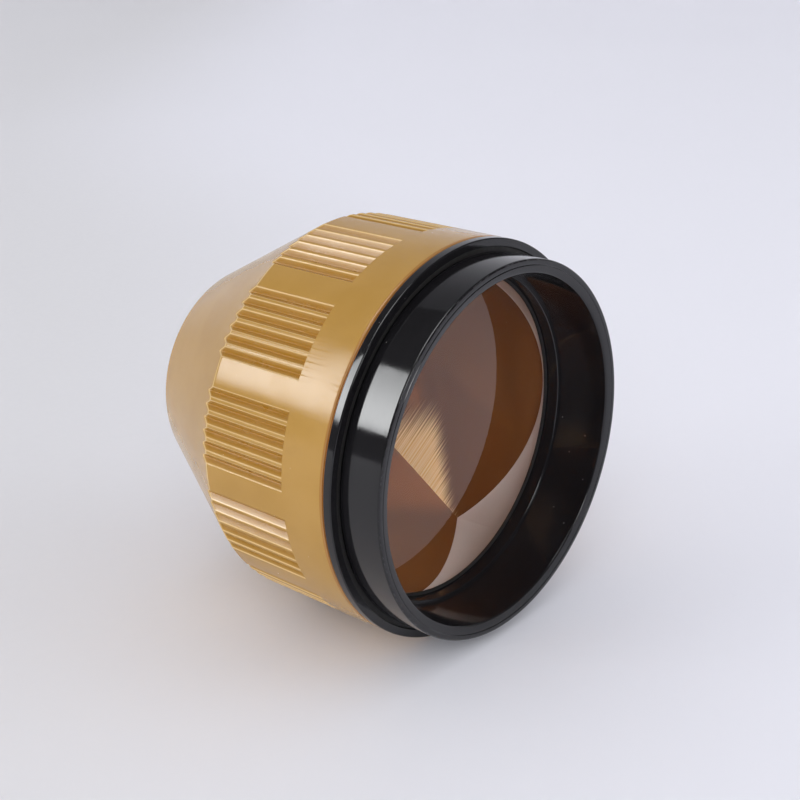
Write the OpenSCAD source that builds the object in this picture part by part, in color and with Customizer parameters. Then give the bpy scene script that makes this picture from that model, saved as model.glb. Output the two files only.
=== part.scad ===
// Round surveying prism in a canister that a holder ring takes from its front.
// The optical axis is Y, the front looks towards -Y and +Z is up.
// The origin is on the optical axis, in the plane of the flange's front face.

/* [Glass] */
// Clear diameter of the glass inside the lip
aperture_d = 62; // [56:0.5:68]
// Width of the glass edge that the lip covers
glass_cover = 1; // [0.7:0.1:1.6]
// Straight edge of the glass ahead of the three mirrored faces
glass_edge = 3; // [2.6:0.1:5]
// Chamfer round the front face of the glass
glass_chamfer = 0.3; // [0.15:0.05:0.4]
// Turn of the corner cube about the optical axis
prism_turn = 117; // [0:1:119]
// Thickness of the copper coating and its lacquer
coat_t = 0.3; // [0.15:0.05:0.5]

/* [Front hood] */
// Distance from the flange's front face to the rim
hood_len = 8.5; // [6:0.5:14]
// Rounding of the rim's outer edge
rim_round = 0.35; // [0.2:0.05:0.6]
// Width of the outer band of the rim's face
rim_band = 1.1; // [0.8:0.1:1.3]
// Depth and half width of the fine line between the two bands of the rim
rim_line = 0.12; // [0.06:0.02:0.2]
// Fall of the inner band from its line to the mouth
rim_fall = 0.3; // [0.1:0.05:0.5]
// Rounding between the rim's face and the inner wall
mouth_round = 0.4; // [0.2:0.05:0.6]
// Widening of the inner wall from the lip to the mouth
mouth_flare = 0.8; // [0.2:0.1:1.2]
// Height of the lip over the foot of the inner wall
lip_height = 0.7; // [0.4:0.1:1]
// Distance of the lip's front face behind the flange's front face
lip_setback = 2.1; // [1.5:0.1:4]
// Thickness of the lip along the axis
lip_t = 2.65; // [2:0.05:4]
// Chamfer of the lip's front edge
lip_chamfer = 0.15; // [0.05:0.05:0.3]
// Gap round the glass that the centring band fills
cell_gap = 0.5; // [0.4:0.1:1]
// Wall of the cell and its spigot
cell_wall = 1.9; // [1.6:0.1:3]
// Distance from the flange's front face to the spigot's end
spigot_len = 18; // [15:0.5:19]
// Lead-in chamfer at the spigot's end
spigot_chamfer = 0.6; // [0.3:0.1:1]
// Height of the hood's shoulder over its spigot
hood_shoulder = 0.8; // [0.6:0.05:1.2]
// Relief behind the skirt, where the thin rubber ring lies
neck_relief = 0.45; // [0.4:0.05:0.5]
// Chamfer of the skirt's rear edge
skirt_chamfer = 0.3; // [0.15:0.05:0.35]

/* [Flange ring] */
// Thickness of the flange ring
flange_t = 1.75; // [1.4:0.05:3]
// Depth of the recess for the thin rubber ring
recess_depth = 0.9; // [0.6:0.05:1]
// Width of the recess between the hood's neck and the flange
recess_w = 1.25; // [0.8:0.05:1.4]
// Rounding of the flange's outer edges
flange_round = 0.25; // [0.1:0.05:0.4]

/* [Seals and pads] */
// Thickness of the thin ring in the recess behind the skirt
skirt_ring_t = 0.5; // [0.3:0.05:0.5]
// Thickness of the amber gasket between flange and housing
joint_t = 0.25; // [0.15:0.05:0.5]
// Setback of the amber gasket from the outside
joint_setback = 0.3; // [0.1:0.05:0.6]
// Thickness of the gasket in front of the glass
gasket_t = 0.5; // [0.3:0.1:1]
// Width of the gasket that shows inside the lip
gasket_show = 0.5; // [0.2:0.1:0.8]
// Cord of the sealing ring on the spigot
spigot_cord = 1.2; // [1:0.05:1.3]
// Distance of the spigot's groove behind the flange's front face
groove_setback = 2.6; // [2.4:0.1:3]
// Width of the centring band
band_w = 2.2; // [1.4:0.1:2.2]
// Thickness of the cradle's rubber pads
pad_t = 1.2; // [0.6:0.1:2]
// Length of a pad down the slope of the glass
pad_l = 5; // [3:0.5:5.5]
// Width of a pad
pad_w = 12; // [8:0.5:13]

/* [Cradle] */
// Height of the cradle along the axis
cradle_h = 5; // [4.5:0.5:7]
// Width of a lug of the cradle
lug_w = 14; // [13.5:0.5:20]
// Room between the glass edges and the cradle
edge_room = 0.6; // [0.4:0.1:0.9]

/* [Housing] */
// Wall of the grip over the spigot
body_wall = 3; // [2.4:0.1:4]
// Rounding of the housing's front edge
front_round = 0.4; // [0.2:0.1:0.8]
// Plain band between the front edge and the flutes
plain_band = 9.4; // [5:0.2:14]
// Distance from the cone's start to where the glass edges turn in
cone_lead = 0.7; // [0.2:0.1:2]
// Slope of the rear cone
cone_angle = 28.2; // [24:0.2:30]
// Wall of the cone, square to it
cone_wall = 2.6; // [2:0.1:3]
// Rounding between grip and cone
shoulder_round = 2; // [0.5:0.5:4]
// Room behind the tip of the glass
tip_room = 2.1; // [2:0.2:5]
// Thickness of the rear end
end_wall = 3.1; // [2:0.1:5]
// Rounding of the rear edge
rear_round = 1.2; // [0.6:0.1:2.5]
// Step that the cradle seats on
seat_step = 1.7; // [1.2:0.1:1.8]

/* [Flutes] */
// Number of flute groups round the grip
groups = 12; // [6:1:12]
// Flutes in a group
group_flutes = 6; // [3:1:7]
// Plain pitches between two groups
plain_pitches = 2; // [1:1:3]
// Width of a flute at the surface
flute_w = 1.8; // [1.2:0.1:1.9]
// Width of the floor between a flute's two sloping sides
flute_floor = 0.2; // [0.1:0.05:0.4]
// Depth of a flute
flute_depth = 0.9; // [0.5:0.05:1.1]
// Turn of the groups about the optical axis
grip_turn = 10; // [0:0.1:29.9]

/* [Fits] */
// Clearance between rings and what they sit on
slip = 0.05; // [0.03:0.01:0.1]
// Radial clearance of the spigot in the housing
spigot_gap = 0.1; // [0.05:0.01:0.2]

/* [Hidden] */
$fn = 96;

ochre = [0.76, 0.62, 0.38];
black = [0.12, 0.12, 0.13];
rubber_black = [0.08, 0.08, 0.08];
amber = [0.72, 0.42, 0.12];
clear_glass = [0.75, 0.66, 0.6];
copper = [0.6, 0.33, 0.2];
grey = [0.35, 0.35, 0.37];

// Corner cube: slope of a face to the axis, and its distance from the axis for each mm ahead of the tip
face_slope = atan(1 / sqrt(2));
face_rise = 1 / sqrt(2);

// How far a cut or a blank reaches past the surface that limits it
past = 1;
// Room for the cord along its groove
groove_room = 0.4;
// Reach of a flute's cutter above the grip, where neighbouring cutters don't meet yet
flute_above = 0.3;
// How far a lug runs into the wall of the cradle's ring
lug_root = 0.5;

// Radii, from the clear aperture outwards
aperture_r = aperture_d / 2;
glass_r = aperture_r + glass_cover;
cell_r = glass_r + cell_gap;
spigot_r = cell_r + cell_wall;
skirt_r = spigot_r + hood_shoulder;
neck_r = skirt_r - neck_relief;
bore_r = spigot_r + spigot_gap;
body_r = bore_r + body_wall;
foot_r = aperture_r + lip_height;
mouth_r = foot_r + mouth_flare;
seat_r = bore_r - seat_step;
cradle_r = bore_r - slip;
recess_r = neck_r + recess_w;

// Places along the axis, from the flange's front face rearwards
lip_back = lip_setback + lip_t;
glass_front = lip_back + gasket_t;
joint_back = flange_t + joint_t;
tip = glass_front + glass_edge + glass_r / face_rise;
edge_exit = tip - glass_r * face_rise;
cradle_back = spigot_len + cradle_h;
cone_start = edge_exit - cone_lead;
end_inside = tip + coat_t / sin(face_slope) + tip_room;
end_outside = end_inside + end_wall;
end_r = body_r - (end_outside - cone_start) * tan(cone_angle);
inner_cone_r = body_r - cone_wall / cos(cone_angle);
groove_w = spigot_cord + groove_room;

// Flutes
pitch = 360 / (groups * (group_flutes + plain_pitches));
flute_start = joint_back + plain_band;
flute_len = cone_start + flute_depth / tan(cone_angle) + past - flute_start;
flute_side = (flute_w - flute_floor) / 2 / flute_depth;

// Points of an arc in a profile
function arc(cx, cz, r, from, to, steps = 6) =
    [for (i = [0:steps]) let (a = from + (to - from) * i / steps) [cx + r * cos(a), cz + r * sin(a)]];

// Turns a revolved part, whose local z runs rearwards, onto the optical axis
module on_axis() {
    rotate([-90, 0, 0]) children();
}

// Ring of rectangular section
module ring(inner, outer, from, to) {
    rotate_extrude() polygon([[inner, from], [outer, from], [outer, to], [inner, to]]);
}

// Ring of round section
module cord_ring(r, z, cord) {
    rotate_extrude() translate([r, z]) circle(d = cord, $fn = 48);
}

// All the space ahead of the three faces of the corner cube, grown by an offset
module corner_space(grow = 0) {
    reach = 4 * glass_r;
    translate([0, 0, tip + grow / sin(face_slope)])
        rotate([180, 0, 0])
        rotate([0, face_slope - 90, 0])
        rotate([0, 0, -45])
        cube(reach);
}

// Azimuth of the middle of each mirrored face
function face_turn(i) = prism_turn + 120 * i;

module housing() {
    bend = shoulder_round * tan(cone_angle / 2);
    turn = 90 - cone_angle;
    rear_cut = rear_round * tan(turn / 2);
    rear_z = end_outside - rear_round;
    rear_r = end_r - rear_cut;
    inner_end_r = inner_cone_r - (end_inside - cone_start) * tan(cone_angle);
    inner_start = cone_start + (inner_cone_r - seat_r) / tan(cone_angle);
    color(ochre) on_axis() difference() {
        rotate_extrude() polygon(concat(
            [[0, end_inside], [0, end_outside]],
            arc(rear_r, rear_z, rear_round, 90, cone_angle),
            arc(body_r - shoulder_round, cone_start - bend, shoulder_round, cone_angle, 0, 4),
            arc(body_r - front_round, joint_back + front_round, front_round, 0, -90),
            [[bore_r, joint_back], [bore_r, cradle_back], [seat_r, cradle_back]],
            [[seat_r, inner_start], [inner_end_r, end_inside]]
        ));
        for (group = [0:groups - 1], i = [0:group_flutes - 1])
            rotate([0, 0, grip_turn + 360 / groups * group + pitch * (i - (group_flutes - 1) / 2)])
                translate([body_r, 0, flute_start])
                flute();
    }
}

// Cutter of a flute, whose two sides slope down from the surface to a narrow floor
module flute() {
    floor_half = flute_floor / 2;
    top_half = flute_w / 2 + flute_above * flute_side;
    linear_extrude(flute_len) polygon([
        [-flute_depth, -floor_half], [flute_above, -top_half],
        [flute_above, top_half], [-flute_depth, floor_half]
    ]);
}

module front_hood() {
    line_r = skirt_r - rim_band;
    groove_r = bore_r - spigot_cord - 2 * slip;
    color(black) on_axis() rotate_extrude() polygon(concat(
        [[spigot_r, recess_depth], [neck_r, recess_depth], [neck_r, 0]],
        [[skirt_r - skirt_chamfer, 0], [skirt_r, -skirt_chamfer]],
        arc(skirt_r - rim_round, rim_round - hood_len, rim_round, 0, -90),
        [[line_r + rim_line, -hood_len], [line_r, rim_line - hood_len]],
        [[line_r - rim_line, -hood_len]],
        arc(mouth_r + mouth_round, rim_fall - hood_len + mouth_round, mouth_round, -90, -180),
        [[foot_r, lip_setback], [aperture_r + lip_chamfer, lip_setback]],
        [[aperture_r, lip_setback + lip_chamfer], [aperture_r, lip_back], [cell_r, lip_back]],
        [[cell_r, spigot_len], [spigot_r - spigot_chamfer, spigot_len]],
        [[spigot_r, spigot_len - spigot_chamfer]],
        [[spigot_r, groove_setback + groove_w], [groove_r, groove_setback + groove_w]],
        [[groove_r, groove_setback], [spigot_r, groove_setback]]
    ));
}

module flange_ring() {
    inner = spigot_r + slip;
    color(black) on_axis() rotate_extrude() polygon(concat(
        [[inner, recess_depth], [recess_r, recess_depth], [recess_r, 0]],
        arc(body_r - flange_round, flange_round, flange_round, -90, 0, 4),
        arc(body_r - flange_round, flange_t - flange_round, flange_round, 0, 90, 4),
        [[inner, flange_t]]
    ));
}

module skirt_ring() {
    back = recess_depth - slip;
    color(rubber_black) on_axis() ring(neck_r + slip, recess_r - slip, back - skirt_ring_t, back);
}

module joint_gasket() {
    color(amber) on_axis() ring(bore_r, body_r - joint_setback, flange_t, joint_back);
}

module prism() {
    color(clear_glass) on_axis() intersection() {
        rotate_extrude() polygon([
            [0, glass_front], [glass_r - glass_chamfer, glass_front],
            [glass_r, glass_front + glass_chamfer], [glass_r, tip + past], [0, tip + past]
        ]);
        rotate([0, 0, prism_turn]) corner_space();
    }
}

module mirror_coat() {
    color(copper) on_axis() difference() {
        intersection() {
            translate([0, 0, glass_front]) cylinder(r = glass_r, h = tip + past - glass_front);
            rotate([0, 0, prism_turn]) corner_space(coat_t);
        }
        rotate([0, 0, prism_turn]) corner_space();
    }
}

module glass_gasket() {
    color(rubber_black) on_axis() ring(aperture_r - gasket_show, cell_r - slip, lip_back, glass_front);
}

module centring_band() {
    start = glass_front + glass_chamfer;
    color(rubber_black) on_axis() ring(glass_r + slip, cell_r - slip, start, start + band_w);
}

module spigot_ring() {
    color(rubber_black) on_axis()
        cord_ring(bore_r - slip - spigot_cord / 2, groove_setback + groove_w / 2, spigot_cord);
}

module cradle() {
    color(grey) on_axis() union() {
        ring(glass_r + edge_room, cradle_r, spigot_len, cradle_back);
        for (i = [0:2]) difference() {
            rotate([0, 0, face_turn(i)]) translate([0, -lug_w / 2, spigot_len])
                cube([glass_r + edge_room + lug_root, lug_w, cradle_h]);
            rotate([0, 0, prism_turn]) corner_space(coat_t + pad_t);
        }
    }
}

// Rubber pad between a lug and the mirrored face that it holds
module cradle_pad(i) {
    middle = spigot_len + cradle_h / 2;
    color(rubber_black) on_axis() rotate([0, 0, face_turn(i)])
        translate([(tip - middle) * face_rise, 0, middle])
        rotate([0, 90 - face_slope, 0])
        translate([-pad_l / 2, -pad_w / 2, coat_t])
        cube([pad_l, pad_w, pad_t]);
}

housing();
front_hood();
flange_ring();
skirt_ring();
joint_gasket();
prism();
mirror_coat();
glass_gasket();
centring_band();
spigot_ring();
cradle();
cradle_pad(0);  // cradle_pad_1
cradle_pad(1);  // cradle_pad_2
cradle_pad(2);  // cradle_pad_3
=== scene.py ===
import math

import bpy
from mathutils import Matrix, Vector


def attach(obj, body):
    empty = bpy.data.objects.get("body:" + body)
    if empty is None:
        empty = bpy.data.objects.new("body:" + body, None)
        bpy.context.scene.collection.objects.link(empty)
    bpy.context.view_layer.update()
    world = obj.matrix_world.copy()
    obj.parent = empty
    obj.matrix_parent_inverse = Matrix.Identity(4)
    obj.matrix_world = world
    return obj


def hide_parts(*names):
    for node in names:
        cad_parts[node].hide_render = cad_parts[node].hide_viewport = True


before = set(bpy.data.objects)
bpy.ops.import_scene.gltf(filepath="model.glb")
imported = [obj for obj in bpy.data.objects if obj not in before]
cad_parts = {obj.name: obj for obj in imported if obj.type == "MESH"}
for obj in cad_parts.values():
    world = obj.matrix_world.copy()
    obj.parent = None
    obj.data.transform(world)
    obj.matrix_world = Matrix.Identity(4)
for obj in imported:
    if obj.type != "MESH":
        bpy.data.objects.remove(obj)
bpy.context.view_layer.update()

MM = 0.001

# Radii of the prism and its canister, in mm, from the optical axis outwards
GLASS_SHOWN = 30.5
APERTURE = 31.0
LIP_FOOT = 31.7
GLASS = 32.0
CELL = 32.5
MOUTH = 32.5
SEAT = 32.8
SPIGOT = 34.4
BORE = 34.5
NECK = 34.75
SKIRT = 35.2
RECESS = 36.0
GRIP = 37.5

# Places along the optical axis, in mm behind the flange's front face
RIM = -8.5
RING_FRONT = 0.35
RING_BACK = 0.85
RECESS_FLOOR = 0.9
FLANGE_BACK = 1.75
GRIP_FRONT = 2.0
LIP_FRONT = 2.1
LIP_BACK = 4.75
GLASS_FRONT = 5.25
FLUTE_FRONT = 11.3
SPIGOT_END = 18.0
CRADLE_BACK = 23.0
CONE_START = 30.177
TIP = 53.505
END_INSIDE = 56.124
END_OUTSIDE = 59.224

# Roundings and chamfers, in mm
FRONT_ROUND = 0.4
SHOULDER_ROUND = 2.0
REAR_ROUND = 1.2
RIM_ROUND = 0.35
MOUTH_ROUND = 0.4
FLANGE_ROUND = 0.25
SKIRT_CHAMFER = 0.3
LIP_CHAMFER = 0.15
SPIGOT_CHAMFER = 0.6
GLASS_CHAMFER = 0.3
TIP_BEVEL = 0.18

# Clearance between a ring and what it sits on, and how far the amber gasket stays inside the grip
SLIP = 0.05
GASKET_INSET = 0.3

# Face of the rim: width of its outer band, half width of the line beside it, fall of its inner band
RIM_BAND = 1.1
RIM_LINE = 0.12
RIM_FALL = 0.3

# Groove of the sealing ring round the spigot: its floor, front and back
SEAL_FLOOR = 33.2
SEAL_FRONT = 2.6
SEAL_BACK = 4.2

# Rear cone: its slope in degrees, its wall, and its fall for each mm rearwards
CONE_ANGLE = 28.2
CONE_WALL = 2.6
CONE = math.tan(math.radians(CONE_ANGLE))
# Radius of its outside at the rear end, and of its inside where it starts, before any rounding
REAR_EDGE = GRIP - (END_OUTSIDE - CONE_START) * CONE
INNER_CONE = GRIP - CONE_WALL / math.cos(math.radians(CONE_ANGLE))

# A flute: half its width at the surface, the slope of its sides, the rounding at its root
FLUTE_HALF = 1.0
FLUTE_SLOPE = math.radians(46)
FLUTE_ROOT = 0.2
FLUTE_DEPTH = FLUTE_HALF * math.tan(FLUTE_SLOPE) - FLUTE_ROOT * (1 / math.cos(FLUTE_SLOPE) - 1)
# Slope of a flute's front end, and the rounding of its lips
FLUTE_END = 4.0
FLUTE_LIP = 0.07

# Groups of flutes: how many, flutes in each, the flutes' pitch and the turn of the first group in degrees
GROUPS = 12
FLUTES = 6
FLUTE_PITCH = 3.75
GROUP_TURN = 20.0

# Mesh columns: distance from a flute's middle in mm, and turn on the plain band between groups in degrees
FLUTE_COLUMNS = (0.0, 0.08, 0.16, 0.34, 0.52, 0.70, 0.86, 0.95, 1.0, 1.05)
PLAIN_COLUMNS = (11.8, 12.6, 13.4, 14.2, 15.0)
# Mesh rows at a flute's front end, in mm behind it
END_ROWS = (-0.12, 0.0, 0.05, 0.11, 0.17, 0.23, 0.3)
# Mesh rows on the plain band, the grip and the cone, in mm behind the flange's front face
BAND_ROW = 6.0
GRIP_ROWS = (17.0, 24.0)
CONE_ROWS = (38.0, 48.0)

# Steps round the optical axis, of the hood and the flange and of the rings and the glass
TURNED_STEPS = 512
RING_STEPS = 384
# Sectors that a turned piece is spun in
TURNED_SECTORS = 16

# Colours of the coat seen through the glass: amber all over, and the golden colours of a painted glow of
# light on one patch
AMBER_COAT = (0.3, 0.125, 0.042, 1)
DARK_AMBER_COAT = (0.27, 0.11, 0.037, 1)
PAINTED_GLOW_GOLD = (0.84, 0.5, 0.15, 1)
PAINTED_GLOW_PALE = (1.0, 0.76, 0.44, 1)

# Room between the mirrored faces and the coat's own mesh, so that the two don't lie in one plane
COAT_GAP = 0.06

# Turn of the middle of each mirrored face of the glass, from +X towards +Z
FACE_TURNS = (3.0, 123.0, 243.0)

# Camera: its lens and sensor in mm, its place in m, its dip below level and its turn from +Y towards +X
# in degrees
CAMERA_LENS = 63
CAMERA_SENSOR = 36
CAMERA_PLACE = (-0.1884, -0.1440, 0.0976)
CAMERA_DIP = 20.71
CAMERA_TURN = 49.48

# Stage: sizes in m, the backdrop's turn in degrees and the distances from the part in m
FLOOR_SIZE = 12
BACKDROP_WIDTH = 9.0
BACKDROP_HEIGHT = 4.6
BACKDROP_TURN = 49.5
BACKDROP_AWAY = 2.7
LAMP_AWAY = 2.5

# Lamps: turn from +Y towards -X and rise in degrees, width and height in m, strength, and whether the
# lamp is one for sheen, which shows in glossy surfaces only, or one for even light on all the others
LAMPS = (
    # Bright streaks on the left of the housing and the skirt
    ("softbox_left", 46.0, 26.6, 0.66, 1.24, 13.5, True),
    # Small light in the rim and the hood, from in front of the glass
    ("softbox_front", 168.0, 21.0, 0.6, 0.6, 12.0, True),
    # Broad sheen on the upper side
    ("softbox_top", 60.0, 74.0, 1.5, 1.5, 7.0, True),
    # Even light from behind on the left, from the right and from the camera's side
    ("softbox_back", 56.0, 15.0, 1.4, 1.1, 5.4, False),
    ("softbox_right", 212.0, 26.0, 1.4, 1.4, 2.4, False),
    ("softbox_near", 127.0, 36.0, 1.6, 1.6, 3.2, False),
)
LAMP_COLOUR = (0.97, 0.985, 0.995, 1)
# Brightness of a lamp's lower middle over its stated strength
LAMP_MIDDLE = 1.12

# Strength of the room: on matt surfaces, mirrored straight in glossy ones, and on the inside of the glass
ROOM = 0.82
ROOM_IN_GLOSS = 0.12
ROOM_IN_GLASS = 5.07


# ---------------------------------------------------------------- finishes

class Value:
    """A socket of a finish. Arithmetic on it adds Math nodes."""

    def __init__(self, tree, socket):
        self.tree = tree
        self.socket = socket

    def math(self, operation, first, second):
        """One Math node on two sockets or numbers."""
        made = self.tree.nodes.new("ShaderNodeMath")
        made.operation = operation
        for socket, value in zip(made.inputs, (first, second)):
            if isinstance(value, Value):
                self.tree.links.new(value.socket, socket)
            else:
                socket.default_value = value
        return Value(self.tree, made.outputs[0])

    def __add__(self, other):
        return self.math("ADD", self, other)

    def __radd__(self, other):
        return self.math("ADD", other, self)

    def __sub__(self, other):
        return self.math("SUBTRACT", self, other)

    def __rsub__(self, other):
        return self.math("SUBTRACT", other, self)

    def __mul__(self, other):
        return self.math("MULTIPLY", self, other)

    def __rmul__(self, other):
        return self.math("MULTIPLY", other, self)


class Finish:
    """The node tree of one finish: of a material of its own, or a tree that is handed in."""

    def __init__(self, name, tree=None):
        self.material = None
        if tree is None:
            self.material = bpy.data.materials.new(name)
            self.material.use_nodes = True
            tree = self.material.node_tree
        self.tree = tree
        tree.nodes.clear()

    def node(self, kind, settings, sockets, output=0):
        """Adds a node: its settings first, then the values or links of its sockets."""
        made = self.tree.nodes.new(kind)
        for key, value in settings.items():
            setattr(made, key, value)
        for key, value in sockets.items():
            if isinstance(value, Value):
                self.tree.links.new(value.socket, made.inputs[key])
            else:
                made.inputs[key].default_value = value
        return Value(self.tree, made.outputs[output]) if len(made.outputs) else None

    def place(self):
        """Place on the object, in m."""
        return self.node("ShaderNodeTexCoord", {}, {}, "Object")

    def noise(self, scale, detail, roughness, at=None):
        """Cloudy pattern from 0 to 1."""
        return self.node("ShaderNodeTexNoise", {}, {
            "Vector": at or self.place(), "Scale": scale, "Detail": detail, "Roughness": roughness})

    def spread(self, value, low, high, to_low=0.0, to_high=1.0):
        """Carries a stretch of values over to another, smoothly and within its ends."""
        return self.node("ShaderNodeMapRange", {"interpolation_type": "SMOOTHSTEP"}, {
            "Value": value, "From Min": low, "From Max": high, "To Min": to_low, "To Max": to_high})

    def colour(self, mask, base, other):
        """A colour that goes over to another with a mask."""
        return self.node("ShaderNodeMix", {"data_type": "RGBA"}, {0: mask, 6: base, 7: other}, 2)

    def specks(self, scale, size, share):
        """Small round specks in a share of the cells of a pattern."""
        at = self.place()
        gap = self.node("ShaderNodeTexVoronoi", {"feature": "F1"}, {"Vector": at, "Scale": scale}, "Distance")
        cell = self.node("ShaderNodeTexVoronoi", {"feature": "F1"}, {"Vector": at, "Scale": scale}, "Color")
        pick = self.node("ShaderNodeSeparateColor", {}, {0: cell}, 0)
        return self.spread(gap, size, size * 0.6) * self.spread(pick, 1 - share, 1 - share + 0.01)

    def radius(self):
        """Distance from the optical axis, in mm."""
        flat = self.node("ShaderNodeVectorMath", {"operation": "MULTIPLY"}, {
            0: self.place(), 1: (1000.0, 0.0, 1000.0)})
        return self.node("ShaderNodeVectorMath", {"operation": "LENGTH"}, {0: flat}, "Value")

    def behind(self):
        """Distance behind the flange's front face, in mm."""
        return self.node("ShaderNodeSeparateXYZ", {}, {0: self.place()}, 1) * 1000.0

    def height(self):
        """Height over the optical axis, in m."""
        return self.node("ShaderNodeSeparateXYZ", {}, {0: self.place()}, 2)

    def along(self, direction):
        """Distance from the origin along a direction, in mm."""
        return self.node("ShaderNodeVectorMath", {"operation": "DOT_PRODUCT"}, {
            0: self.place(), 1: tuple(1000.0 * part for part in direction)}, "Value")

    def bump(self, height, reach, under=None):
        """Bump of a height from 0 to 1 that stands for a reach in mm."""
        sockets = {"Distance": reach * MM, "Height": height}
        if under:
            sockets["Normal"] = under
        return self.node("ShaderNodeBump", {}, sockets)

    def shell(self, sockets):
        """The shader of a solid surface."""
        return self.node("ShaderNodeBsdfPrincipled", {}, sockets)

    def done(self, shader):
        """Ends the tree with a shader and gives the material."""
        self.node("ShaderNodeOutputMaterial", {}, {0: shader})
        return self.material


def rgb(red, green, blue):
    """Colour written as seen on a screen, from 0 to 255, for a socket."""
    def linear(part):
        part /= 255
        return part / 12.92 if part <= 0.04045 else ((part + 0.055) / 1.055) ** 2.4
    return (linear(red), linear(green), linear(blue), 1)


def ochre_plastic():
    """Glossy moulding of the housing, with flow marks, painted shade deep in its flutes, a painted highlight
    inside their lips and a rubbed rear edge.
    """
    f = Finish("ochre_plastic")
    cloud = f.noise(55.0, 3.0, 0.55)
    flow = f.noise(420.0, 3.0, 0.6)
    base = f.colour(f.spread(cloud, 0.35, 0.65), rgb(163, 125, 61), rgb(169, 131, 68))
    base = f.colour(f.spread(flow, 0.5, 0.75, 0.0, 0.25), base, rgb(158, 120, 60))

    cone = f.node("ShaderNodeMath", {"operation": "MAXIMUM"}, {0: (f.behind() - CONE_START) * CONE, 1: 0.0})
    depth = GRIP - cone - f.radius()
    # Painted shade: the flutes turn a darker, deeper ochre towards their roots, where shade falls; the same
    # mask also roughens them
    groove_painted_shade = f.spread(depth, 0.06, 0.75 * FLUTE_DEPTH)
    base = f.colour(groove_painted_shade * 0.9, base, rgb(150, 106, 18))
    # Painted highlight: a pale line just inside each flute's lip, where the edge catches light
    lip = f.spread(depth, 0.015, 0.05) * f.spread(depth, 0.24, 0.12)
    base = f.colour(lip * 0.6, base, rgb(226, 198, 146))

    front_edge = f.spread(f.behind(), GRIP_FRONT + 0.7, GRIP_FRONT + 0.2)
    base = f.colour(front_edge * 0.75, base, rgb(140, 88, 34))
    rub = f.noise(900.0, 4.0, 0.7)
    rear_edge = f.spread(f.behind(), 58.2, 59.0) * f.spread(f.radius(), REAR_EDGE - 1.3, REAR_EDGE - 0.7)
    worn = rear_edge * f.spread(rub, 0.45, 0.62)
    base = f.colour(worn * 0.35, base, rgb(208, 176, 122))
    dust = f.specks(620.0, 0.09, 0.05)
    base = f.colour(dust * 0.5, base, rgb(226, 214, 190))

    smear = f.noise(160.0, 3.0, 0.6)
    rough = f.spread(smear, 0.35, 0.7, 0.15, 0.21) + f.spread(rub, 0.55, 0.75, 0.0, 0.05)
    rough = rough + dust * 0.3 + worn * 0.15 + groove_painted_shade * 0.12
    waves = f.bump(f.noise(105.0, 1.0, 0.4), 0.035)
    skin = f.bump(f.noise(2600.0, 2.0, 0.5), 0.0012, under=waves)
    return f.done(f.shell({"Base Color": base, "Roughness": rough, "IOR": 1.36, "Normal": skin}))


def black_plastic():
    """Polished moulding of the hood and the flange, rubbed at the edge of the rim."""
    f = Finish("black_plastic")
    cloud = f.noise(70.0, 3.0, 0.6)
    rub = f.noise(1100.0, 4.0, 0.7)
    dust = f.specks(700.0, 0.08, 0.06)
    edge = f.spread(f.behind(), RIM + 0.2, RIM + 0.02) * f.spread(f.radius(), SKIRT - 0.5, SKIRT - 0.1)
    worn = edge * f.spread(rub, 0.5, 0.62)
    base = f.colour(f.spread(cloud, 0.35, 0.65), rgb(19, 18, 20), rgb(24, 23, 25))
    base = f.colour(worn * 0.5, base, rgb(74, 72, 74))
    base = f.colour(dust * 0.6, base, rgb(140, 136, 134))
    smear = f.noise(180.0, 3.0, 0.6)
    rough = f.spread(smear, 0.35, 0.7, 0.07, 0.12) + f.spread(rub, 0.55, 0.75, 0.0, 0.06)
    rough = rough + dust * 0.3 + worn * 0.2
    waves = f.bump(f.noise(90.0, 1.0, 0.4), 0.02)
    skin = f.bump(f.noise(2400.0, 2.0, 0.5), 0.0008, under=waves)
    return f.done(f.shell({"Base Color": base, "Roughness": rough, "IOR": 1.44, "Normal": skin}))


def black_rubber():
    """Matt rubber of the seals, the band and the pads."""
    f = Finish("black_rubber")
    grain = f.noise(1500.0, 4.0, 0.7)
    dust = f.specks(900.0, 0.1, 0.1)
    base = f.colour(grain, rgb(24, 23, 23), rgb(40, 38, 37))
    base = f.colour(dust * 0.5, base, rgb(120, 115, 108))
    rough = f.spread(grain, 0.3, 0.7, 0.5, 0.7)
    return f.done(f.shell({"Base Color": base, "Roughness": rough, "Normal": f.bump(grain, 0.01)}))


def amber_gasket():
    """Translucent gasket between the flange and the housing."""
    f = Finish("amber_gasket")
    grain = f.noise(700.0, 3.0, 0.6)
    base = f.colour(grain, rgb(150, 84, 22), rgb(190, 118, 42))
    rough = f.spread(grain, 0.3, 0.7, 0.25, 0.45)
    return f.done(f.shell({
        "Base Color": base, "Roughness": rough, "Normal": f.bump(grain, 0.008),
        "Subsurface Weight": 0.4, "Subsurface Scale": 0.0006, "Subsurface Radius": (1.0, 0.5, 0.15)}))


def grey_plastic():
    """Matt moulding of the cradle."""
    f = Finish("grey_plastic")
    grain = f.noise(1200.0, 4.0, 0.6)
    base = f.colour(f.noise(90.0, 3.0, 0.6), rgb(82, 82, 86), rgb(92, 92, 95))
    rough = f.spread(grain, 0.3, 0.7, 0.4, 0.6)
    return f.done(f.shell({"Base Color": base, "Roughness": rough, "Normal": f.bump(grain, 0.01)}))


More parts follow.
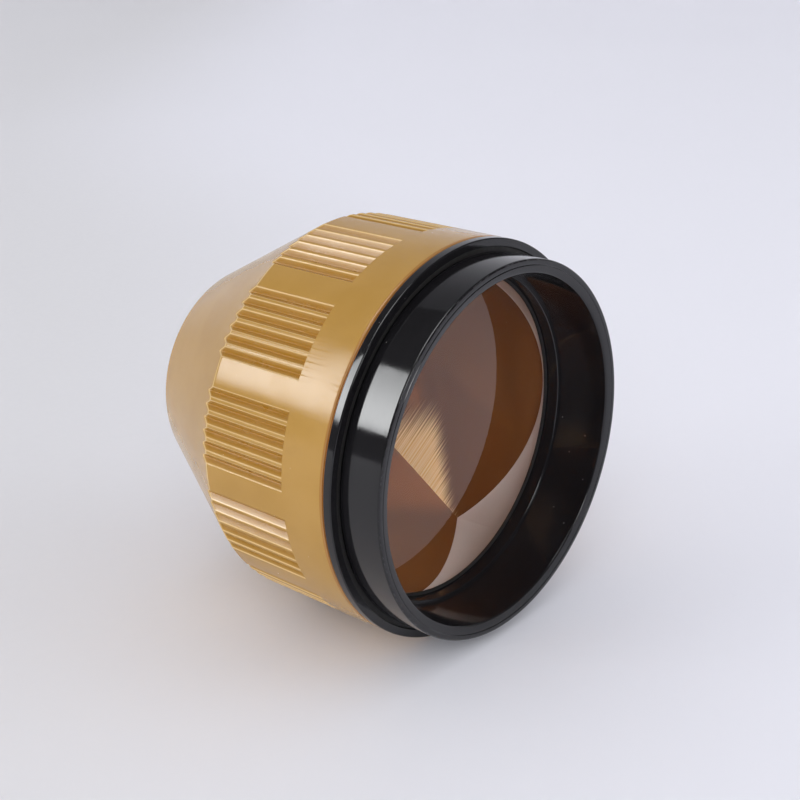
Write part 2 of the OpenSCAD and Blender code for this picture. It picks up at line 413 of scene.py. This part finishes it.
def copper_coat():
    """Copper under lacquer, on the outside of the mirrored faces."""
    f = Finish("copper_coat")
    cloud = f.noise(140.0, 4.0, 0.6)
    stain = f.spread(f.noise(420.0, 4.0, 0.7), 0.55, 0.75)
    base = f.colour(cloud, rgb(196, 122, 82), rgb(176, 104, 68))
    base = f.colour(stain * 0.5, base, rgb(128, 78, 58))
    rough = f.spread(cloud, 0.3, 0.7, 0.28, 0.4) + stain * 0.15
    return f.done(f.shell({
        "Base Color": base, "Metallic": 1.0, "Roughness": rough, "Normal": f.bump(cloud, 0.01),
        "Coat Weight": 0.4, "Coat Roughness": 0.2}))


def polished_glass():
    """Front face of the prism, clear but for a faint wipe mark and a little dust."""
    f = Finish("polished_glass")
    wipe = f.node("ShaderNodeMapping", {}, {
        "Vector": f.place(), "Rotation": (0.0, 0.6, 0.0), "Scale": (1.0, 1.0, 4.0)})
    smear = f.spread(f.noise(90.0, 3.0, 0.6, wipe), 0.52, 0.72)
    dust = f.specks(520.0, 0.05, 0.06)
    clear = f.shell({
        "Base Color": f.colour(smear, (1, 1, 1, 1), (0.985, 0.985, 0.98, 1)),
        "Roughness": smear * 0.012, "IOR": 1.52, "Transmission Weight": 1.0})
    grain = f.shell({"Base Color": rgb(190, 186, 180), "Roughness": 0.8})
    return f.done(f.node("ShaderNodeMixShader", {}, {0: dust * 0.5, 1: clear, 2: grain}))


def ground_glass():
    """Ground side and chamfer of the prism."""
    f = Finish("ground_glass")
    grain = f.noise(2200.0, 3.0, 0.6)
    base = f.colour(grain, rgb(196, 182, 175), rgb(206, 192, 185))
    rough = f.spread(grain, 0.3, 0.7, 0.6, 0.8)
    return f.done(f.shell({"Base Color": base, "Roughness": rough, "Normal": f.bump(grain, 0.01)}))


def mirror_face(number, turn):
    """One coated rear face of the prism, seen from inside the glass: amber, with a painted glow of light in a
    streaked golden patch.
    """
    f = Finish("mirror_face_%d" % number)
    side, stroke = math.radians(turn + 90), math.radians(turn + 120)
    beside = f.along((math.cos(side), 0.0, math.sin(side)))
    lengthwise = f.along((math.cos(stroke), math.sqrt(0.5), math.sin(stroke)))
    # Painted glow of light: golden streaks on one patch stand in for light gathered on the face, and the
    # patch is less metallic
    glow_streaks = f.node("ShaderNodeTexNoise", {"noise_dimensions": "1D"}, {
        "W": lengthwise * 0.42 + beside * 0.02, "Detail": 3.0, "Roughness": 0.55})
    glow_streaks = f.spread(glow_streaks, 0.34, 0.64)
    # The painted glow begins about 35 mm behind the flange's front face, on one side of the face's middle
    # line
    rearwards = f.spread(f.behind() - beside * 0.12 + glow_streaks * 1.5, 34.7, 38.3)
    sideways = f.spread(beside - glow_streaks * 3.0, -2.0, -10.5)
    painted_glow = rearwards * sideways
    cloud = f.noise(60.0, 3.0, 0.5)
    amber = f.colour(cloud, AMBER_COAT, DARK_AMBER_COAT)
    gold = f.colour(glow_streaks, PAINTED_GLOW_GOLD, PAINTED_GLOW_PALE)
    return f.done(f.shell({
        "Base Color": f.colour(painted_glow, amber, gold), "Metallic": 0.6 - painted_glow * 0.55,
        "Roughness": f.spread(cloud, 0.3, 0.7, 0.08, 0.14), "Specular IOR Level": 0.0}))


def pale_floor():
    """Pale matt board, with painted shade that makes it a little darker towards the left of the picture, less
    so further back.
    """
    f = Finish("pale_floor")
    tone = f.noise(3.0, 2.0, 0.5)
    fibre = f.noise(500.0, 3.0, 0.6)
    across = f.along((0.65, -0.76, 0.0))
    away = f.along((0.76, 0.65, 0.0))
    # Painted shade: the left tone is darker, where shade falls beside the part; further back the board goes
    # over to the lighter right tone
    left = f.colour(tone, (0.68, 0.675, 0.7, 1), (0.7, 0.695, 0.72, 1))
    right = f.colour(tone, (0.805, 0.805, 0.875, 1), (0.825, 0.825, 0.895, 1))
    base = f.colour(f.spread(across + f.spread(away, 150.0, 600.0, 0.0, 140.0), -140.0, 80.0), left, right)
    rough = f.spread(fibre, 0.3, 0.7, 0.6, 0.75)
    return f.done(f.shell({"Base Color": base, "Roughness": rough, "Normal": f.bump(fibre, 0.01)}))


def pale_backdrop():
    """Pale wall behind the floor, with painted shade that makes it darker towards its top."""
    f = Finish("pale_backdrop")
    # Painted shade: grey towards the top, where less light falls
    base = f.colour(f.spread(f.height(), 0.2, 3.2), (0.85, 0.85, 0.88, 1), (0.42, 0.42, 0.44, 1))
    return f.done(f.shell({"Base Color": base, "Roughness": 0.8}))


def softbox_glow(name, height, glow):
    """Cloth of a lamp, a little darker towards its upper and lower edges."""
    f = Finish(name + "_glow")
    up = f.height()
    lower = f.spread(up, -0.5 * height, -0.3 * height, 0.6, 1.0)
    upper = f.spread(up, 0.5 * height, -0.25 * height, 0.62 / LAMP_MIDDLE, 1.0)
    return f.done(f.node("ShaderNodeEmission", {}, {
        "Color": f.colour(lower * upper, (0, 0, 0, 1), LAMP_COLOUR), "Strength": LAMP_MIDDLE * glow}))


# ---------------------------------------------------------------- shaping

def deselect():
    """Deselects every object."""
    bpy.ops.object.select_all(action="DESELECT")


def open_piece(piece):
    """Goes into edit mode on one piece, with all of it selected."""
    deselect()
    piece.select_set(True)
    bpy.context.view_layer.objects.active = piece
    bpy.ops.object.mode_set(mode="EDIT")
    bpy.ops.mesh.select_all(action="SELECT")


def close_piece():
    """Goes back to object mode."""
    bpy.ops.object.mode_set(mode="OBJECT")


def arc(centre_r, centre_y, radius, start, end, steps):
    """Points of an arc in a profile, from one angle to another in degrees."""
    turns = [math.radians(start + (end - start) * i / steps) for i in range(steps + 1)]
    return [(centre_r + radius * math.cos(t), centre_y + radius * math.sin(t)) for t in turns]


def spun_sector(name, profile, steps, sectors):
    """Draws a closed profile of (radius, distance behind the flange's front face) and spins it over a sector.

    It is drawn from one point to the next, and the last stretch leads back to the first.
    """
    points = [Vector((radius * MM, behind * MM, 0)) for radius, behind in profile]
    # A small plane is merged into the first point
    deselect()
    bpy.ops.mesh.primitive_plane_add(size=MM, location=points[0])
    piece = bpy.context.object
    piece.name = piece.data.name = name
    bpy.ops.object.transform_apply(location=True, rotation=True, scale=True)
    open_piece(piece)
    bpy.ops.mesh.merge(type="CENTER")
    for start, end in zip(points, points[1:] + points[:1]):
        bpy.ops.mesh.extrude_vertices_move(TRANSFORM_OT_translate={"value": end - start})
    bpy.ops.mesh.select_all(action="SELECT")
    bpy.ops.mesh.remove_doubles(threshold=0.000001)
    bpy.ops.mesh.spin(steps=steps, angle=2 * math.pi / sectors, center=(0, 0, 0), axis=(0, 1, 0))
    close_piece()
    return piece


def repeat_round(piece, sectors):
    """Copies a sector round the optical axis and joins the copies into one closed shell."""
    open_piece(piece)
    for _ in range(sectors - 1):
        bpy.ops.mesh.duplicate()
        bpy.ops.transform.rotate(
            value=2 * math.pi / sectors, orient_axis="Y", orient_type="GLOBAL", center_override=(0, 0, 0))
    bpy.ops.mesh.select_all(action="SELECT")
    bpy.ops.mesh.remove_doubles(threshold=0.000001)
    bpy.ops.mesh.delete_loose()
    bpy.ops.mesh.select_all(action="SELECT")
    bpy.ops.mesh.normals_make_consistent(inside=False)
    close_piece()
    return piece


def turned(name, profile, steps):
    """A plain turned piece."""
    return repeat_round(spun_sector(name, profile, steps // TURNED_SECTORS, TURNED_SECTORS), TURNED_SECTORS)


def soften(piece, angle, width=None, edges=60, segments=2):
    """Bevels the sharp edges of a piece if a width is given, shades it smooth and keeps its flats flat."""
    deselect()
    piece.select_set(True)
    bpy.context.view_layer.objects.active = piece
    if width:
        bpy.ops.object.modifier_add(type="BEVEL")
        bevel = piece.modifiers[-1]
        bevel.width = width * MM
        bevel.segments = segments
        bevel.limit_method = "ANGLE"
        bevel.angle_limit = math.radians(edges)
        bpy.ops.object.modifier_apply(modifier=bevel.name)
    bpy.ops.object.shade_smooth_by_angle(angle=math.radians(angle))
    bpy.ops.object.modifier_add(type="WEIGHTED_NORMAL")
    flats = piece.modifiers[-1]
    flats.keep_sharp = True
    flats.weight = 60
    bpy.ops.object.modifier_apply(modifier=flats.name)
    return piece


def put_on(piece, finish, slot, *nodes):
    """Gives a piece its finish, lets it ride on the part and stand for its CAD nodes."""
    piece.data.materials.clear()
    piece.data.materials.append(finish)
    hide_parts(*nodes)
    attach(piece, "root")
    return piece


# ---------------------------------------------------------------- housing

def grip_radius(behind):
    """Radius of the housing's plain outside, in mm."""
    return GRIP - max(0.0, behind - CONE_START) * CONE


def groove_depth(across):
    """Depth of a flute at a distance from its middle, in mm."""
    across = abs(across)
    if across < FLUTE_ROOT * math.sin(FLUTE_SLOPE):
        return FLUTE_DEPTH - (FLUTE_ROOT - math.sqrt(FLUTE_ROOT ** 2 - across ** 2))
    return (FLUTE_HALF - across) * math.tan(FLUTE_SLOPE)


def sector_columns():
    """Turn of each column of a sector, in degrees from its group's middle. They are closer on the flutes."""
    columns = [-turn for turn in PLAIN_COLUMNS] + list(PLAIN_COLUMNS)
    for flute in range(FLUTES):
        centre = FLUTE_PITCH * (flute - (FLUTES - 1) / 2)
        for across in FLUTE_COLUMNS:
            step = math.degrees(across / GRIP)
            columns += [centre + step] if across == 0 else [centre - step, centre + step]
    return sorted(columns)


def nearest_flute(off):
    """Distance in degrees to the middle of the nearest flute."""
    middle = (FLUTES - 1) / 2
    number = min(FLUTES - 1, max(0, round(off / FLUTE_PITCH + middle)))
    return off - (number - middle) * FLUTE_PITCH


def soft_lower(first, second, blend):
    """The lower of two heights, rounded where they meet."""
    near = max(blend - abs(first - second), 0.0) / blend
    return min(first, second) - near * near * blend / 4


def housing():
    """Housing: one sector is spun, its flutes are pressed in, and it is copied round the axis."""
    bend = SHOULDER_ROUND * math.tan(math.radians(CONE_ANGLE / 2))
    rear_r = grip_radius(END_OUTSIDE) - REAR_ROUND * math.tan(math.radians((90 - CONE_ANGLE) / 2))
    inner_end = INNER_CONE - (END_INSIDE - CONE_START) * CONE
    inner_start = CONE_START + (INNER_CONE - SEAT) / CONE
    front_end = [(GRIP, FLUTE_FRONT + step) for step in END_ROWS]
    # Rows on the cone where a flute's sides run out, from its rounded lip inwards
    run_out = [groove_depth(across) for across in FLUTE_COLUMNS[-3::-1]]
    run_out = [CONE_START + depth / CONE for depth in run_out if depth / CONE > bend]
    outside = (
        arc(GRIP - FRONT_ROUND, GRIP_FRONT + FRONT_ROUND, FRONT_ROUND, -90, 0, 5)
        + [(GRIP, BAND_ROW)] + front_end + [(GRIP, row) for row in GRIP_ROWS]
        + arc(GRIP - SHOULDER_ROUND, CONE_START - bend, SHOULDER_ROUND, 0, CONE_ANGLE, 7)
        + [(grip_radius(row), row) for row in (*run_out, run_out[-1] + 0.12, *CONE_ROWS)]
        + arc(rear_r, END_OUTSIDE - REAR_ROUND, REAR_ROUND, CONE_ANGLE, 90, 6)
        + [(rear_r * 0.55, END_OUTSIDE), (0, END_OUTSIDE)]
    )
    inside = [
        (0, END_INSIDE), (inner_end * 0.6, END_INSIDE), (inner_end, END_INSIDE), (SEAT, inner_start),
        (SEAT, CRADLE_BACK), (BORE, CRADLE_BACK), (BORE, GRIP_FRONT)
    ]
    columns = sector_columns()
    piece = spun_sector("housing_moulded", outside + inside, len(columns) - 1, GROUPS)
    step = 2 * math.pi / GROUPS / (len(columns) - 1)
    for vertex in piece.data.vertices:
        radius = math.hypot(vertex.co.x, vertex.co.z) / MM
        if radius < 0.001:
            continue
        # The spin's even columns move to the turns that they are wanted at
        off = columns[round(abs(math.atan2(vertex.co.z, vertex.co.x)) / step)]
        behind = vertex.co.y / MM
        across = math.radians(nearest_flute(off)) * GRIP
        outer = abs(radius - grip_radius(behind)) < 0.3
        if outer and behind > FLUTE_FRONT and abs(across) < FLUTE_HALF + 0.1:
            floor = GRIP - min(groove_depth(across), (behind - FLUTE_FRONT) * FLUTE_END)
            radius = soft_lower(radius, floor, FLUTE_LIP)
        angle = math.radians(GROUP_TURN + off)
        vertex.co.x = radius * MM * math.cos(angle)
        vertex.co.z = radius * MM * math.sin(angle)
    repeat_round(piece, GROUPS)
    soften(piece, 40)
    return put_on(piece, OCHRE, "ochre_plastic", "housing")


# ---------------------------------------------------------------- front pieces

def front_hood():
    """Hood with its rim, the lip in front of the glass, the cell and the spigot, all in one."""
    line = SKIRT - RIM_BAND
    profile = (
        [(SPIGOT, RECESS_FLOOR), (NECK, RECESS_FLOOR), (NECK, 0)]
        + [(SKIRT - SKIRT_CHAMFER, 0), (SKIRT, -SKIRT_CHAMFER)]
        + arc(SKIRT - RIM_ROUND, RIM + RIM_ROUND, RIM_ROUND, 0, -90, 5)
        + [(line + RIM_LINE, RIM), (line, RIM + RIM_LINE), (line - RIM_LINE, RIM)]
        + arc(MOUTH + MOUTH_ROUND, RIM + RIM_FALL + MOUTH_ROUND, MOUTH_ROUND, -90, -180, 5)
        + [(LIP_FOOT, LIP_FRONT), (APERTURE + LIP_CHAMFER, LIP_FRONT), (APERTURE, LIP_FRONT + LIP_CHAMFER)]
        + [(APERTURE, LIP_BACK), (CELL, LIP_BACK), (CELL, SPIGOT_END), (SPIGOT - SPIGOT_CHAMFER, SPIGOT_END)]
        + [(SPIGOT, SPIGOT_END - SPIGOT_CHAMFER), (SPIGOT, SEAL_BACK), (SEAL_FLOOR, SEAL_BACK)]
        + [(SEAL_FLOOR, SEAL_FRONT), (SPIGOT, SEAL_FRONT)]
    )
    piece = turned("front_hood_polished", profile, TURNED_STEPS)
    soften(piece, 40, width=0.05, edges=30)
    return put_on(piece, BLACK, "black_plastic", "front_hood")


def flange_ring():
    """Flange with the recess for the thin rubber ring."""
    edge = GRIP - FLANGE_ROUND
    profile = (
        [(SPIGOT + SLIP, RECESS_FLOOR), (RECESS, RECESS_FLOOR), (RECESS, 0)]
        + arc(edge, FLANGE_ROUND, FLANGE_ROUND, -90, 0, 4)
        + arc(edge, FLANGE_BACK - FLANGE_ROUND, FLANGE_ROUND, 0, 90, 4)
        + [(SPIGOT + SLIP, FLANGE_BACK)]
    )
    piece = turned("flange_ring_polished", profile, TURNED_STEPS)
    soften(piece, 40, width=0.05)
    return put_on(piece, BLACK, "black_plastic", "flange_ring")


def washer(name, inner, outer, front, back, finish, slot, node, rounding):
    """Thin ring of rectangular section with soft edges."""
    piece = turned(name, [(inner, front), (outer, front), (outer, back), (inner, back)], RING_STEPS)
    soften(piece, 50, width=rounding, segments=3)
    return put_on(piece, finish, slot, node)


def facing(turn):
    """Direction that a mirrored face of the glass looks in."""
    angle = math.radians(turn)
    return Vector((math.cos(angle), math.sqrt(0.5), math.sin(angle))).normalized()


def prism():
    """Glass corner cube: a cylinder cut by three planes that are square to each other."""
    deselect()
    depth = (TIP + 1 - GLASS_FRONT) * MM
    bpy.ops.mesh.primitive_cylinder_add(
        vertices=RING_STEPS, radius=GLASS * MM, depth=depth,
        location=(0, GLASS_FRONT * MM + depth / 2, 0), rotation=(math.pi / 2, 0, 0))
    piece = bpy.context.object
    piece.name = piece.data.name = "corner_cube_glass"
    bpy.ops.object.transform_apply(location=True, rotation=True, scale=True)
    open_piece(piece)
    tip = (0, (TIP - COAT_GAP) * MM, 0)
    for turn in FACE_TURNS:
        bpy.ops.mesh.select_all(action="SELECT")
        bpy.ops.mesh.bisect(plane_co=tip, plane_no=facing(turn), use_fill=True, clear_outer=True)
    bpy.ops.mesh.select_all(action="SELECT")
    bpy.ops.mesh.remove_doubles(threshold=0.000001)
    bpy.ops.mesh.normals_make_consistent(inside=False)
    close_piece()

    def at_front(ends):
        return all(abs(end.y / MM - GLASS_FRONT) < 0.001 for end in ends)

    def at_tip(ends):
        return any(math.hypot(end.x, end.z) < 0.001 * MM and end.y > 0 for end in ends)

    bevel_edges(piece, GLASS_CHAMFER, at_front)
    bevel_edges(piece, TIP_BEVEL, at_tip)
    put_on(piece, POLISHED, "glass", "prism")
    for finish in (GROUND, *MIRRORS):
        piece.data.materials.append(finish)
    for face in piece.data.polygons:
        if face.normal.y < -0.9:
            face.material_index = 0
            continue
        face.material_index = 1
        face.use_smooth = abs(face.normal.y) < 0.1
        for number, turn in enumerate(FACE_TURNS):
            if face.normal.dot(facing(turn)) > 0.999:
                face.material_index = 2 + number
    return piece


def bevel_edges(piece, width, wanted):
    """Bevels the edges that a test on their two ends picks."""
    open_piece(piece)
    bpy.ops.mesh.select_all(action="DESELECT")
    close_piece()
    for edge in piece.data.edges:
        edge.select = wanted([piece.data.vertices[i].co for i in edge.vertices])
    bpy.ops.object.mode_set(mode="EDIT")
    bpy.ops.mesh.select_mode(type="EDGE")
    bpy.ops.mesh.bevel(offset=width * MM, segments=1, affect="EDGES")
    close_piece()


# ---------------------------------------------------------------- camera and light

def camera():
    """Camera at the photo's angle."""
    data = bpy.data.cameras.new("camera")
    data.sensor_width = CAMERA_SENSOR
    data.lens = CAMERA_LENS
    data.clip_start = 0.01
    data.clip_end = 30
    eye = bpy.data.objects.new("camera", data)
    eye.location = CAMERA_PLACE
    eye.rotation_euler = (math.radians(90 - CAMERA_DIP), 0, math.radians(-CAMERA_TURN))
    bpy.context.scene.collection.objects.link(eye)
    bpy.context.scene.camera = eye


def stage():
    """Floor under the part, a backdrop behind it and the lamps round it."""
    deselect()
    bpy.ops.mesh.primitive_plane_add(size=FLOOR_SIZE, location=(0, 0, -GRIP * MM))
    floor = bpy.context.object
    floor.name = "floor"
    bpy.ops.object.transform_apply(location=True, rotation=True, scale=True)
    floor.data.materials.append(pale_floor())

    turn = math.radians(-BACKDROP_TURN)
    ahead = Vector((-math.sin(turn), math.cos(turn), 0))
    deselect()
    bpy.ops.mesh.primitive_plane_add(size=1, location=(0, 0, 0))
    wall = bpy.context.object
    wall.name = "backdrop"
    wall.scale = (BACKDROP_WIDTH, BACKDROP_HEIGHT, 1)
    wall.rotation_euler = (math.radians(90), 0, turn)
    wall.location = ahead * BACKDROP_AWAY + Vector((0, 0, BACKDROP_HEIGHT / 2 - GRIP * MM))
    bpy.ops.object.transform_apply(location=True, rotation=True, scale=True)
    wall.data.materials.append(pale_backdrop())

    for lamp in LAMPS:
        softbox(*lamp)


def softbox(name, turn, rise, width, height, glow, sheen):
    """One soft lamp that faces the part, as the table of lamps gives it."""
    turn, rise = math.radians(turn), math.radians(rise)
    towards = Vector((-math.sin(turn) * math.cos(rise), math.cos(turn) * math.cos(rise), math.sin(rise)))
    deselect()
    bpy.ops.mesh.primitive_plane_add(size=1, location=(0, 0, 0))
    box = bpy.context.object
    box.name = name
    box.scale = (width, height, 1)
    box.rotation_mode = "QUATERNION"
    box.rotation_quaternion = (-towards).to_track_quat("Z", "Y")
    box.location = towards * LAMP_AWAY
    bpy.ops.object.transform_apply(location=False, rotation=True, scale=True)
    box.data.materials.append(softbox_glow(name, height, glow))
    box.visible_camera = False
    box.visible_diffuse = not sheen
    box.visible_glossy = sheen
    box.visible_transmission = sheen


def room_light():
    """Even light from all round.

    Straight reflections of the room are dark, as in a studio. Light that leaves the glass after it was
    scattered on a mirrored face is stronger, since a render follows too few reflections inside the glass.
    """
    world = bpy.data.worlds.new("room")
    bpy.context.scene.world = world
    world.use_nodes = True
    f = Finish("room", world.node_tree)
    path = "ShaderNodeLightPath"
    mirrored = f.node("ShaderNodeMath", {"operation": "MAXIMUM"}, {
        0: f.node(path, {}, {}, "Is Glossy Ray"), 1: f.node(path, {}, {}, "Is Transmission Ray")})
    unscattered = f.node("ShaderNodeMath", {"operation": "LESS_THAN"}, {
        0: f.node(path, {}, {}, "Diffuse Depth"), 1: 0.5})
    dark = mirrored * unscattered
    in_glass = mirrored - dark
    level = ROOM - dark * (ROOM - ROOM_IN_GLOSS) + in_glass * (ROOM_IN_GLASS - ROOM)
    glow = f.node("ShaderNodeBackground", {}, {"Color": (1.0, 1.0, 1.02, 1), "Strength": level})
    f.node("ShaderNodeOutputWorld", {}, {0: glow})


# ---------------------------------------------------------------- the part

OCHRE = ochre_plastic()
BLACK = black_plastic()
RUBBER = black_rubber()
AMBER = amber_gasket()
GREY = grey_plastic()
COPPER = copper_coat()
POLISHED = polished_glass()
GROUND = ground_glass()
MIRRORS = [mirror_face(number, turn) for number, turn in enumerate(FACE_TURNS, 1)]

housing()
front_hood()
flange_ring()
washer(
    "skirt_ring_soft", NECK + SLIP, RECESS - SLIP, RING_FRONT, RING_BACK,
    RUBBER, "black_rubber", "skirt_ring", rounding=0.12)
washer(
    "joint_gasket_soft", BORE, GRIP - GASKET_INSET, FLANGE_BACK, GRIP_FRONT,
    AMBER, "amber_gasket", "joint_gasket", rounding=0.08)
washer(
    "glass_gasket_soft", GLASS_SHOWN, CELL - SLIP, LIP_BACK, GLASS_FRONT,
    RUBBER, "black_rubber", "glass_gasket", rounding=0.1)
prism()

for node, finish in (
    ("mirror_coat", COPPER), ("centring_band", RUBBER), ("spigot_ring", RUBBER), ("cradle", GREY),
    ("cradle_pad_1", RUBBER), ("cradle_pad_2", RUBBER), ("cradle_pad_3", RUBBER),
):
    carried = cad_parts[node]
    carried.data.materials.clear()
    carried.data.materials.append(finish)

camera()
stage()
room_light()
bpy.context.scene.view_settings.view_transform = "Standard"
